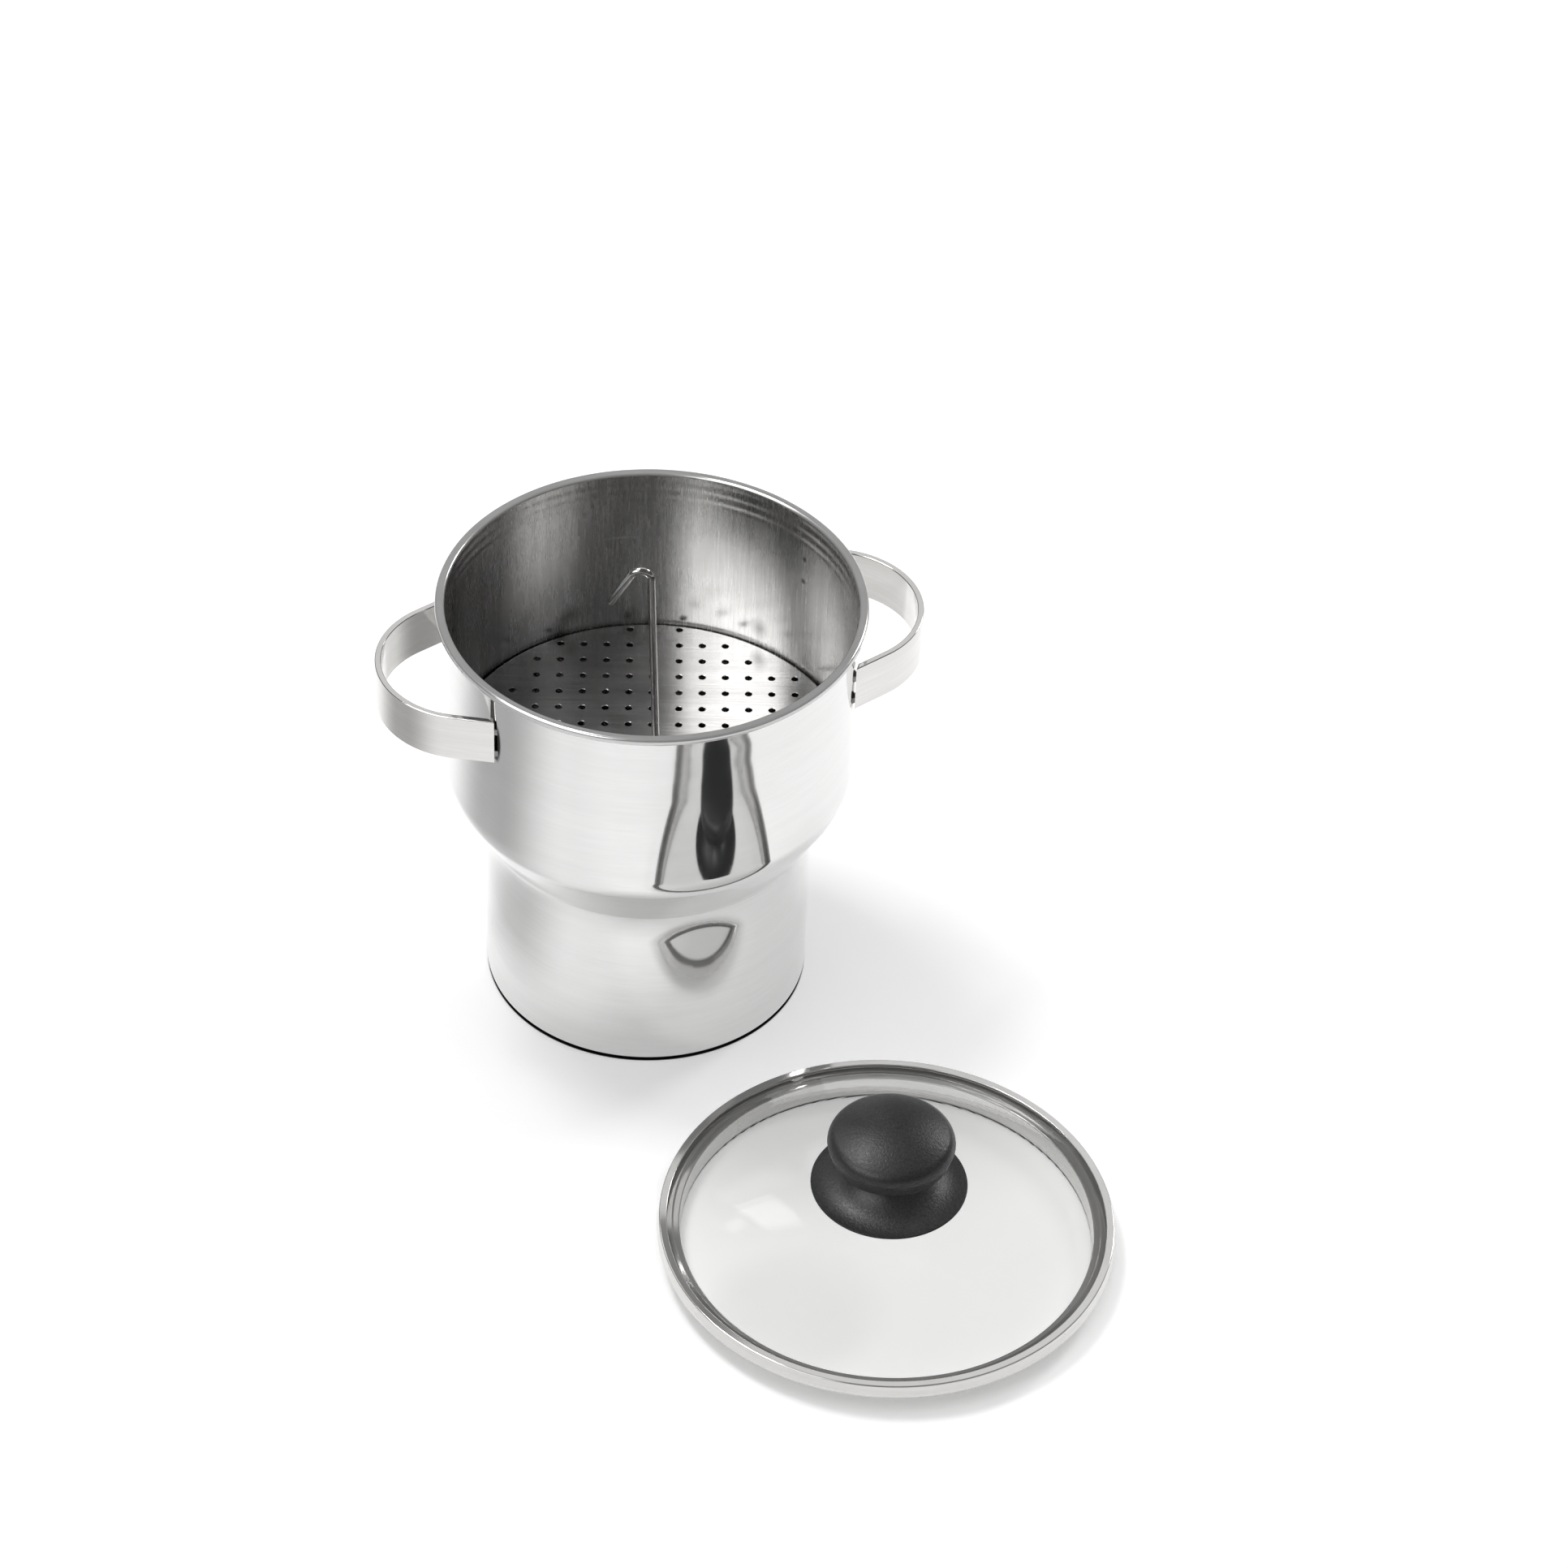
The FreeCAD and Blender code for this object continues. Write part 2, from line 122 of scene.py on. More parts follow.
def turned(name, section, centre=(0, 0), closed=True, around=288, crease=35, zone=None):
    # full turn of a section about an upright axis; zone gives a section run its material
    verts, faces, zones, rows = [], [], [], []
    for r, z in section:
        if r < 1e-6:
            rows.append([len(verts)] * around)
            verts.append((centre[0], centre[1], z * mm))
            continue
        rows.append(list(range(len(verts), len(verts) + around)))
        for k in range(around):
            a = 2 * math.pi * k / around
            verts.append((centre[0] + r * mm * math.cos(a), centre[1] + r * mm * math.sin(a), z * mm))
    last = len(rows) if closed else len(rows) - 1
    for i in range(last):
        low, high = rows[i], rows[(i + 1) % len(rows)]
        if low[0] == low[1] and high[0] == high[1]:
            continue
        for k in range(around):
            n = (k + 1) % around
            face = []
            for v in (low[k], low[n], high[n], high[k]):
                if v not in face:
                    face.append(v)
            faces.append(face)
            zones.append(zone(i) if zone else 0)
    mesh = bpy.data.meshes.new(name)
    mesh.from_pydata(verts, [], faces)
    mesh.polygons.foreach_set("material_index", zones)
    outward(mesh)
    smoothMesh(mesh, crease)
    return mesh


def outward(mesh):
    bm = bmesh.new()
    bm.from_mesh(mesh)
    bmesh.ops.recalc_face_normals(bm, faces=bm.faces)
    bm.to_mesh(mesh)
    bm.free()


def lofted(name, rings, crease=35):
    # closed skin through rings of equal count, with flat caps
    count = len(rings[0])
    verts = [p for ring in rings for p in ring]
    faces = [list(range(count)), list(range(len(verts) - count, len(verts)))]
    for i in range(len(rings) - 1):
        for k in range(count):
            n = (k + 1) % count
            faces.append([i * count + k, i * count + n, (i + 1) * count + n, (i + 1) * count + k])
    mesh = bpy.data.meshes.new(name)
    mesh.from_pydata(verts, [], faces)
    outward(mesh)
    smoothMesh(mesh, crease)
    return mesh


def piece(name, mesh, body, nodes, slot, *materials):
    obj = bpy.data.objects.new(name, mesh)
    scene.collection.objects.link(obj)
    for material in materials:
        mesh.materials.append(material)
    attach(obj, body)
    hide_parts(*nodes)
    return obj


def feed(tree, node, values):
    # each input takes either a link or a plain value
    for key, value in values.items():
        if isinstance(value, bpy.types.NodeSocket):
            tree.links.new(value, node.inputs[key])
        else:
            node.inputs[key].default_value = value


def add(tree, kind, values=None, **settings):
    node = tree.nodes.new(kind)
    for key, value in settings.items():
        setattr(node, key, value)
    feed(tree, node, values or {})
    return node


def maths(tree, operation, a, b=0.0, clamp=False):
    return add(tree, "ShaderNodeMath", {0: a, 1: b}, operation=operation, use_clamp=clamp).outputs[0]


def newGroup(name, inputs, outputs):
    tree = bpy.data.node_groups.new(name, "ShaderNodeTree")
    for label, kind, value in inputs:
        socket = tree.interface.new_socket(label, in_out="INPUT", socket_type=kind)
        if value is not None:
            socket.default_value = value
    for label, kind in outputs:
        tree.interface.new_socket(label, in_out="OUTPUT", socket_type=kind)
    return tree, tree.nodes.new("NodeGroupInput").outputs, tree.nodes.new("NodeGroupOutput").inputs


def grainGroup():
    # streaks that run along whichever axis has the small scale, with soft long patches in them
    tree, given, out = newGroup("grain", [
        ("Vector", "NodeSocketVector", None),
        ("Scale X", "NodeSocketFloat", 900.0),
        ("Scale Y", "NodeSocketFloat", 900.0),
        ("Scale Z", "NodeSocketFloat", 20.0),
        ("Detail", "NodeSocketFloat", 4.0),
    ], [("Fine", "NodeSocketFloat"), ("Broad", "NodeSocketFloat")])
    scale = add(tree, "ShaderNodeCombineXYZ", {0: given["Scale X"], 1: given["Scale Y"], 2: given["Scale Z"]})
    moved = add(tree, "ShaderNodeVectorMath", {0: given["Vector"], 1: scale.outputs[0]}, operation="MULTIPLY")
    fine = add(tree, "ShaderNodeTexNoise", {
        "Vector": moved.outputs[0], "Scale": 1.0, "Detail": given["Detail"], "Roughness": 0.6,
    })
    broad = add(tree, "ShaderNodeTexNoise", {
        "Vector": moved.outputs[0], "Scale": 0.13, "Detail": 2.0, "Roughness": 0.5,
    })
    tree.links.new(fine.outputs[0], out["Fine"])
    tree.links.new(broad.outputs[0], out["Broad"])
    return tree


def smudgeGroup():
    # cloudy wipe marks, 0 to 1
    tree, given, out = newGroup("smudge", [
        ("Vector", "NodeSocketVector", None),
        ("Scale", "NodeSocketFloat", 25.0),
        ("Sharpness", "NodeSocketFloat", 2.0),
    ], [("Mask", "NodeSocketFloat")])
    cloud = add(tree, "ShaderNodeTexNoise", {
        "Vector": given["Vector"], "Scale": given["Scale"],
        "Detail": 5.0, "Roughness": 0.55, "Distortion": 0.6,
    })
    middle = maths(tree, "SUBTRACT", cloud.outputs[0], 0.5)
    steep = maths(tree, "MULTIPLY", middle, given["Sharpness"])
    mask = maths(tree, "ADD", steep, 0.5, clamp=True)
    tree.links.new(mask, out["Mask"])
    return tree


def spotGroup():
    # soft mark about one point, 1 in the middle; a small stretch makes it long that way
    tree, given, out = newGroup("spot", [
        ("Vector", "NodeSocketVector", None),
        ("Centre", "NodeSocketVector", None),
        ("Stretch", "NodeSocketVector", (1.0, 1.0, 1.0)),
        ("Radius", "NodeSocketFloat", 0.002),
        ("Strength", "NodeSocketFloat", 1.0),
    ], [("Mask", "NodeSocketFloat")])
    away = add(tree, "ShaderNodeVectorMath", {0: given["Vector"], 1: given["Centre"]}, operation="SUBTRACT")
    away = add(tree, "ShaderNodeVectorMath", {0: away.outputs[0], 1: given["Stretch"]}, operation="MULTIPLY")
    away = add(tree, "ShaderNodeVectorMath", {0: away.outputs[0]}, operation="LENGTH")
    share = maths(tree, "DIVIDE", away.outputs["Value"], given["Radius"])
    near = maths(tree, "SUBTRACT", 1.0, share, clamp=True)
    tree.links.new(maths(tree, "MULTIPLY", near, given["Strength"], clamp=True), out["Mask"])
    return tree


grain = grainGroup()
smudge = smudgeGroup()
spot = spotGroup()


def useGroup(tree, group, values):
    node = tree.nodes.new("ShaderNodeGroup")
    node.node_tree = group
    feed(tree, node, values)
    return node.outputs


def blendColour(tree, share, low, high):
    ends = [c if isinstance(c, bpy.types.NodeSocket) else (*c, 1) for c in (low, high)]
    mix = add(tree, "ShaderNodeMix", {"Factor": share}, data_type="RGBA")
    feed(tree, mix, {6: ends[0], 7: ends[1]})
    return mix.outputs[2]


def spread(tree, share, low, high):
    return add(tree, "ShaderNodeMapRange", {"Value": share, "To Min": low, "To Max": high}).outputs[0]


def newMaterial(name):
    material = bpy.data.materials.new(name)
    material.use_nodes = True
    tree = material.node_tree
    tree.nodes.clear()
    shader = tree.nodes.new("ShaderNodeBsdfPrincipled")
    out = tree.nodes.new("ShaderNodeOutputMaterial")
    tree.links.new(shader.outputs[0], out.inputs["Surface"])
    return material, tree, shader


def steel(name, look):
    # stainless steel: streaks change colour, roughness and a slight bump, wipe marks the roughness
    material, tree, shader = newMaterial(name)
    place = tree.nodes.new("ShaderNodeTexCoord").outputs["Object"]
    across, along, up = look["grain"]
    lines = useGroup(tree, grain, {"Vector": place, "Scale X": across, "Scale Y": along, "Scale Z": up})
    wipe = useGroup(tree, smudge, {"Vector": place, "Scale": look["smudgeScale"]})
    rough = spread(tree, lines["Fine"], look["rough"][0], look["rough"][1])
    rough = maths(tree, "ADD", rough, maths(tree, "MULTIPLY", wipe["Mask"], look["smudgeRough"]))
    tone = maths(tree, "MULTIPLY", lines["Broad"], lines["Fine"])
    colour = blendColour(tree, spread(tree, tone, 0.0, 2.2), look["dark"], look["light"])
    # marks blend into the colour: real stains inside, and painted shade beside the strap ends on the polished
    # outside
    for centre, stretch, radius, strength, mark in look.get("marks", []):
        mask = useGroup(tree, spot, {
            "Vector": place, "Centre": centre, "Stretch": stretch, "Radius": radius, "Strength": strength,
        })
        colour = blendColour(tree, mask["Mask"], colour, mark)
    if "footLine" in look:
        # shade caught along the foot of the piece
        above = add(tree, "ShaderNodeSeparateXYZ", {0: place}).outputs[2]
        low = add(tree, "ShaderNodeMapRange", {
            "Value": above, "From Min": look["footLine"][0], "From Max": look["footLine"][1],
            "To Min": 1.0, "To Max": 0.0,
        }).outputs[0]
        colour = blendColour(tree, low, colour, (0.05, 0.05, 0.05))
    height = maths(tree, "ADD", lines["Fine"], maths(tree, "MULTIPLY", lines["Broad"], look["wave"]))
    bump = add(tree, "ShaderNodeBump", {
        "Height": height, "Strength": look["bump"], "Distance": look["depth"],
    })
    feed(tree, shader, {
        "Base Color": colour, "Metallic": look.get("metal", 1.0), "Roughness": rough,
        "Normal": bump.outputs[0],
    })
    return material


def onWall(azimuth, radius, z):
    a = math.radians(azimuth)
    return (radius * mm * math.cos(a), radius * mm * math.sin(a), z * mm)


# marks are (centre, stretch, radius, strength, colour)
# painted shade beside the strap ends, which stand either side of both handles: dark marks for the strap ends'
# shade and reflection in the polished wall
strapEndShade = [(onWall(azimuth, 81.0, 158.0), (1, 1, 0.25), 0.0026, 2.8, (0.03, 0.028, 0.026))
         for azimuth in (-15.0, 44.0, 165.0, 224.0)]
# inside: weld dimples, boiled-on spots above the strainer and one long scratch
stains = [(onWall(azimuth, 79.9, z), (1, 1, 1), 0.0016, 1.5, (0.10, 0.095, 0.09))
          for azimuth in (41.5, -13.4, 166.6, 222.4) for z in (152.0, 163.0)]
stains += [
    (onWall(117.6, 80, 110), (1, 1, 0.8), 0.0065, 0.8, (0.10, 0.098, 0.095)),
    (onWall(114.2, 80, 117), (1, 1, 0.9), 0.0055, 0.7, (0.12, 0.118, 0.115)),
    (onWall(96.4, 80, 112), (1, 1, 1.1), 0.0055, 0.7, (0.12, 0.118, 0.115)),
    (onWall(90.5, 80, 109), (1, 1, 1.0), 0.0045, 0.5, (0.12, 0.118, 0.115)),
    (onWall(57.0, 80, 116), (1, 1, 0.8), 0.0050, 0.7, (0.12, 0.118, 0.115)),
    ((-0.0133, 0.0789, 0.1520), (1, 0.3, 50), 0.0125, 1.6, (0.88, 0.875, 0.87)),
]

polished = {
    "grain": (60.0, 60.0, 900.0), "smudgeScale": 18.0, "smudgeRough": 0.03,
    "rough": (0.03, 0.055), "dark": (0.71, 0.71, 0.705), "light": (0.77, 0.77, 0.765),
    "wave": 0.6, "bump": 0.05, "depth": 0.00002, "marks": strapEndShade,
}
satin = {
    "grain": (1200.0, 1200.0, 55.0), "smudgeScale": 22.0, "smudgeRough": 0.05,
    "rough": (0.18, 0.30), "dark": (0.38, 0.375, 0.37), "light": (0.66, 0.655, 0.65),
    "wave": 0.0, "bump": 0.14, "depth": 0.00002, "marks": stains,
}
strapFinish = {
    "grain": (40.0, 40.0, 1200.0), "smudgeScale": 30.0, "smudgeRough": 0.05,
    "rough": (0.06, 0.12), "dark": (0.64, 0.63, 0.615), "light": (0.75, 0.74, 0.73),
    "wave": 0.5, "bump": 0.12, "depth": 0.00003,
}
plateFinish = {
    "grain": (45.0, 1100.0, 400.0), "smudgeScale": 28.0, "smudgeRough": 0.08,
    "rough": (0.13, 0.24), "dark": (0.50, 0.495, 0.49), "light": (0.74, 0.735, 0.73),
    "wave": 0.0, "bump": 0.2, "depth": 0.00003,
}
wireFinish = {
    "grain": (900.0, 900.0, 60.0), "smudgeScale": 60.0, "smudgeRough": 0.05,
    "rough": (0.10, 0.18), "dark": (0.46, 0.455, 0.45), "light": (0.66, 0.655, 0.65),
    "wave": 0.5, "bump": 0.15, "depth": 0.00003,
}
ringFinish = {
    "grain": (50.0, 50.0, 1500.0), "smudgeScale": 25.0, "smudgeRough": 0.03,
    "rough": (0.05, 0.10), "dark": (0.60, 0.595, 0.58), "light": (0.78, 0.775, 0.765),
    "wave": 0.6, "bump": 0.10, "depth": 0.00002, "metal": 0.72, "footLine": (0.0005, 0.0012),
}
rimFinish = {
    "grain": (50.0, 50.0, 900.0), "smudgeScale": 30.0, "smudgeRough": 0.04,
    "rough": (0.10, 0.18), "dark": (0.58, 0.575, 0.57), "light": (0.76, 0.755, 0.75),
    "wave": 0.4, "bump": 0.08, "depth": 0.00002, "metal": 0.6,
}
weldFinish = {
    "grain": (900.0, 900.0, 900.0), "smudgeScale": 180.0, "smudgeRough": 0.25,
    "rough": (0.22, 0.42), "dark": (0.07, 0.066, 0.062), "light": (0.36, 0.355, 0.345),
    "wave": 1.0, "bump": 0.5, "depth": 0.0002,
}

potOutside = steel("polishedSteel", polished)
potInside = steel("satinSteel", satin)
strapSteel = steel("strapSteel", strapFinish)
plateSteel = steel("brushedPlateSteel", plateFinish)
wireSteel = steel("wireSteel", wireFinish)
ringSteel = steel("lidRingSteel", ringFinish)
rimSteel = steel("rolledRimSteel", rimFinish)
weldSteel = steel("weldSteel", weldFinish)
screwSteel = steel("screwSteel", wireFinish)


def phenolic(look):
    # black resin with a fine pebbled skin and dusty flecks
    material, tree, shader = newMaterial("blackResin")
    place = tree.nodes.new("ShaderNodeTexCoord").outputs["Object"]
    fleck = add(tree, "ShaderNodeTexNoise", {
        "Vector": place, "Scale": look["fleckScale"], "Detail": 3.0, "Roughness": 0.7,
    })
    skin = add(tree, "ShaderNodeTexNoise", {
        "Vector": place, "Scale": look["skinScale"], "Detail": 2.0, "Roughness": 0.6,
    })
    cloud = useGroup(tree, smudge, {"Vector": place, "Scale": look["cloudScale"], "Sharpness": 3.0})
    share = spread(tree, fleck.outputs[0], -0.4, 1.1)
    colour = blendColour(tree, share, look["dark"], look["light"])
    wiped = maths(tree, "MULTIPLY", cloud["Mask"], look["cloudRough"])
    rough = maths(tree, "ADD", spread(tree, skin.outputs[0], *look["rough"]), wiped)
    height = maths(tree, "ADD", skin.outputs[0], maths(tree, "MULTIPLY", fleck.outputs[0], 0.5))
    bump = add(tree, "ShaderNodeBump", {
        "Height": height, "Strength": look["bump"], "Distance": look["depth"],
    })
    feed(tree, shader, {
        "Base Color": colour, "Roughness": rough, "Normal": bump.outputs[0], "Specular IOR Level": 0.5,
    })
    return material


blackResin = phenolic({
    "fleckScale": 1500.0, "skinScale": 900.0, "cloudScale": 60.0, "cloudRough": 0.06,
    "dark": (0.008, 0.008, 0.009), "light": (0.050, 0.050, 0.052),
    "rough": (0.26, 0.48), "bump": 0.75, "depth": 0.00016,
})


def clearGlass(look):
    # tempered glass; light for shadows and soft bounces passes straight through it
    material, tree, shader = newMaterial("clearGlass")
    place = tree.nodes.new("ShaderNodeTexCoord").outputs["Object"]
    wipe = useGroup(tree, smudge, {"Vector": place, "Scale": look["smudgeScale"], "Sharpness": 2.5})
    ripple = add(tree, "ShaderNodeTexNoise", {"Vector": place, "Scale": look["rippleScale"], "Detail": 1.0})
    bump = add(tree, "ShaderNodeBump", {
        "Height": ripple.outputs[0], "Strength": look["bump"], "Distance": look["depth"],
    })
    rough = spread(tree, wipe["Mask"], *look["rough"])
    tint = blendColour(tree, wipe["Mask"], look["dark"], look["light"])
    feed(tree, shader, {
        "Base Color": tint, "Roughness": rough, "IOR": look["ior"], "Transmission Weight": 1.0,
        "Specular IOR Level": look["shine"], "Normal": bump.outputs[0],
    })
    passing = add(tree, "ShaderNodeBsdfTransparent", {"Color": (*look["shade"], 1)})
    path = tree.nodes.new("ShaderNodeLightPath")
    away = maths(tree, "MAXIMUM", path.outputs["Is Shadow Ray"], path.outputs["Is Diffuse Ray"])
    mix = add(tree, "ShaderNodeMixShader", {0: away, 1: shader.outputs[0], 2: passing.outputs[0]})
    tree.links.new(mix.outputs[0], tree.nodes["Material Output"].inputs["Surface"])
    return material


lidGlassMaterial = clearGlass({
    "smudgeScale": 30.0, "rippleScale": 14.0, "bump": 0.02, "depth": 0.0002,
    "rough": (0.0, 0.015), "dark": (0.985, 0.986, 0.984), "light": (0.996, 0.997, 0.995),
    "shade": (0.83, 0.83, 0.825), "shine": 0.4, "ior": 1.3,
})


def silicone():
    material, tree, shader = newMaterial("paleSilicone")
    place = tree.nodes.new("ShaderNodeTexCoord").outputs["Object"]
    cloud = useGroup(tree, smudge, {"Vector": place, "Scale": 300.0})
    colour = blendColour(tree, cloud["Mask"], (0.62, 0.62, 0.60), (0.74, 0.74, 0.72))
    bump = add(tree, "ShaderNodeBump", {"Height": cloud["Mask"], "Strength": 0.2, "Distance": 0.0001})
    rough = spread(tree, cloud["Mask"], 0.5, 0.65)
    feed(tree, shader, {"Base Color": colour, "Roughness": rough, "Normal": bump.outputs[0]})
    return material


paleSilicone = silicone()
print("materials built")


pot = {
    "bore": 80.0, "sheet": 0.8, "height": 183.7, "step": 16.1, "corner": 3.0,
    "shoulderZ": 109.1, "shoulder": 20.4, "neckZ": 78.1, "hollow": 50.0, "tilt": 16.0, "crease": 3.0,
    "rimWidth": 3.8, "rimDepth": 3.1, "rimEdge": 1.2, "rimTuck": 0.6,
    "flareZ": 150.0, "flare": 0.8, "flareSteps": 60, "straight": 15.0,
    "bead": 0.05, "beadZ": 170.0, "beadPitch": 4.2,
    "ripple": 0.06, "rippleZ": 140.0, "rippleAround": 7.0, "rippleUp": 9.0,
}


def potWall(inset, topZ):
    upper = pot["bore"] + pot["sheet"]
    lower = upper - pot["step"]
    shoulder = (upper - pot["shoulder"], pot["shoulderZ"])
    tilt = math.radians(pot["tilt"])
    hollow = (lower + pot["hollow"], pot["neckZ"] - pot["hollow"] * math.sin(tilt))
    back = pot["hollow"] - pot["crease"]
    crease = (hollow[0] - back * math.cos(tilt), hollow[1] + back * math.sin(tilt))
    run, drop = crease[0] - shoulder[0], shoulder[1] - crease[1]
    reach = math.acos((pot["shoulder"] + pot["crease"]) / math.hypot(run, drop))
    lean = math.degrees(math.atan2(drop, run) - reach)
    corner = (lower - pot["corner"], pot["corner"])
    points = [(0, inset), (corner[0] * 0.5, inset)]
    points += bend(corner, pot["corner"] - inset, -90, 0, 12)
    points += bend(hollow, pot["hollow"] + inset, 180, 180 - pot["tilt"], 24)
    points += bend(crease, pot["crease"] + inset, 180 - pot["tilt"], 180 - lean, 5)[1:]
    points += bend(shoulder, pot["shoulder"] - inset, -lean, 0, 30)
    # the wall opens a little towards the rolled rim
    points.append((upper - inset, pot["flareZ"] - pot["straight"]))
    for i in range(pot["flareSteps"] + 1):
        z = pot["flareZ"] + (topZ - pot["flareZ"]) * i / pot["flareSteps"]
        out = pot["flare"] * ((z - pot["flareZ"]) / (pot["height"] - pot["flareZ"])) ** 2
        # shallow rolled lines, felt on the inside only
        if inset and z > pot["beadZ"]:
            out += pot["bead"] * math.sin(2 * math.pi * (z - pot["beadZ"]) / pot["beadPitch"])
        points.append((upper - inset + out, z))
    return points


def rippled(mesh):
    # hand-finished unevenness of the wall, strongest under the rim
    for vert in mesh.vertices:
        r = math.hypot(vert.co.x, vert.co.y)
        share = (vert.co.z / mm - pot["rippleZ"]) / (pot["height"] - pot["rippleZ"])
        if share > 0:
            turn = pot["rippleAround"]
            place = Vector((vert.co.x / r * turn, vert.co.y / r * turn, vert.co.z / mm / pot["rippleUp"]))
            shift = 1 + pot["ripple"] * mm * share * share * noise.noise(place) / r
            vert.co.x *= shift
            vert.co.y *= shift
    mesh.update()
    return mesh


def potMesh():
    rimOut = pot["bore"] + pot["rimWidth"]
    foot = pot["height"] - pot["rimDepth"]
    edge = pot["rimEdge"]
    outside = potWall(0, foot)
    rim = bend((rimOut - edge, foot + edge), edge, -90, 0, 10)
    rim += bend((rimOut - edge, pot["height"] - edge), edge, 0, 90, 10)
    rim += bend((pot["bore"] + edge, pot["height"] - edge), edge, 90, 180, 10)
    inside = list(reversed(potWall(pot["sheet"], pot["height"] - edge - pot["rimTuck"])))
    outline = supported(outside + rim + inside, closed=False)
    rimStart = len(supported(outside, closed=False))
    rimEnd = len(supported(outside + rim, closed=False))

    def zone(i):
        if i >= rimEnd:
            return 1
        return 2 if i >= rimStart else 0

    return rippled(turned("pot", outline, closed=True, around=384, zone=zone))


piece("pot", potMesh(), "pot", ["pot_body"], "pot_steel", potOutside, potInside, rimSteel)
print("pot built")


strap = {
    "azimuth": 14.5, "height": 20.0, "thick": 2.4, "drop": 15.7, "bow": 36.5, "inset": 8.8,
    "halfAngle": 67.3, "edge": 0.4, "gap": 0.9, "legs": (7.0, 6.8, 4.5, 2.2, 0.2), "steps": 96,
}


def sectionLoop(wide, tall, edge, steps=4):
    corners = [(x * wide / 2, y * tall / 2, edge) for x, y in ((-1, -1), (1, -1), (1, 1), (-1, 1))]
    return supported(softened(corners, steps), 0.15)


def strapMesh(name, azimuth):
    upper = pot["bore"] + pot["sheet"]
    bowX = upper - strap["inset"]
    a = strap["halfAngle"]
    mid = strap["bow"] - strap["thick"] / 2
    endR = upper + strap["gap"]
    midZ = pot["height"] - strap["drop"] - strap["height"] / 2
    legDir = Vector((-math.sin(math.radians(a)), math.cos(math.radians(a))))
    stations = []
    for i in range(strap["steps"] + 1):
        b = math.radians(a - 2 * a * i / strap["steps"])
        normal = Vector((math.cos(b), math.sin(b)))
        stations.append((Vector((bowX, 0)) + normal * mid, normal, 0.0))
    top, low = stations[0], stations[-1]
    downDir = Vector((legDir.x, -legDir.y))
    head = [(top[0] + legDir * s, top[1], legDir) for s in strap["legs"]]
    tail = [(low[0] + downDir * s, low[1], downDir) for s in reversed(strap["legs"])]
    loop = sectionLoop(strap["thick"], strap["height"], strap["edge"])
    turn = Matrix.Rotation(math.radians(azimuth), 2)
    rings = []
    stations = head + stations + tail
    for i, (point, normal, leg) in enumerate(stations):
        ring = []
        for u, v in loop:
            p = point + normal * u
            if i in (0, len(stations) - 1):
                # the strap's end follows the wall
                half = p.dot(leg)
                p = p + leg * (-half - math.sqrt(max(half * half - p.dot(p) + endR * endR, 0)))
            q = turn @ p
            ring.append((q.x * mm, q.y * mm, (midZ + v) * mm))
        rings.append(ring)
    return lofted(name, rings)


for name, node, turn in (("handleRight", "handle_right", 0), ("handleLeft", "handle_left", 180)):
    mesh = strapMesh(name, strap["azimuth"] + turn)
    piece(name, mesh, "pot", [node], "handle_steel", strapSteel)
print("handles built")


lidLow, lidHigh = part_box("lid_glass")
lidCentre = ((lidLow.x + lidHigh.x) / 2, (lidLow.y + lidHigh.y) / 2)
lid = {
    "skirtOut": 79.4, "sheet": 0.7, "drop": 7.8, "band": 88.3, "lean": 0.9, "lip": 3.0,
    "glassThick": 4.0, "glassGap": 0.3, "flat": 4.0, "rise": 21.9, "hole": 2.75,
    "glassRound": 0.6, "glassShy": 0.04,
}
glassZ = lid["drop"] + lid["sheet"]
glassTopZ = glassZ + lid["glassThick"]
bandTopZ = glassTopZ + lid["sheet"]
crownZ = glassTopZ + lid["rise"]
glassRadius = lid["band"] - lid["sheet"] - lid["lean"] - lid["glassGap"]
domeRadius = glassRadius - lid["flat"]
domeSphere = (domeRadius ** 2 + lid["rise"] ** 2) / (2 * lid["rise"])
domeCentre = (0, crownZ - domeSphere)


def domeZ(r, inset=0.0):
    return domeCentre[1] + math.sqrt((domeSphere - inset) ** 2 - r ** 2)


def glassMesh():
    inner = domeSphere - lid["glassThick"]
    rim = math.degrees(math.atan2(glassTopZ - domeCentre[1], domeRadius))
    innerFlat = math.sqrt(inner ** 2 - (glassZ - domeCentre[1]) ** 2)
    innerRim = math.degrees(math.atan2(glassZ - domeCentre[1], innerFlat))
    topHole = math.degrees(math.acos(lid["hole"] / domeSphere))
    lowHole = math.degrees(math.acos(lid["hole"] / inner))
    soft = lid["glassRound"]
    shy = lid["glassShy"]
    points = bend(domeCentre, domeSphere, topHole, rim, 60)
    points += bend((glassRadius - soft, glassTopZ - soft - shy), soft, 90, 0, 6)
    points += bend((glassRadius - soft, glassZ + soft + shy), soft, 0, -90, 6)
    points += bend(domeCentre, inner, innerRim + 0.1, lowHole, 60)
    return turned("lidGlass", supported(points), lidCentre, around=288, crease=30)


def ringMesh():
    outer, sheet, drop, band = lid["skirtOut"], lid["sheet"], lid["drop"], lid["band"]
    inner = outer - sheet
    bandTop = band - lid["lean"]
    lipIn = bandTop - lid["lip"]
    corners = [
        (inner, 0, 0.15), (outer, 0, 0.15), (outer, drop, 0.2), (band, drop, 0.5),
        (bandTop, bandTopZ, 0.5), (lipIn, bandTopZ, 0.3), (lipIn, bandTopZ - sheet, 0.1),
        (bandTop - sheet, bandTopZ - sheet, 0.1), (band - sheet, glassZ, 0.1), (inner, glassZ, 0.5),
    ]
    return turned("lidRing", supported(softened(corners), 0.15), lidCentre, around=384)


piece("lidGlass", glassMesh(), "lid", ["lid_glass"], "lid_glass", lidGlassMaterial)
piece("lidRing", ringMesh(), "lid", ["lid_ring"], "ring_steel", ringSteel)
print("lid built")


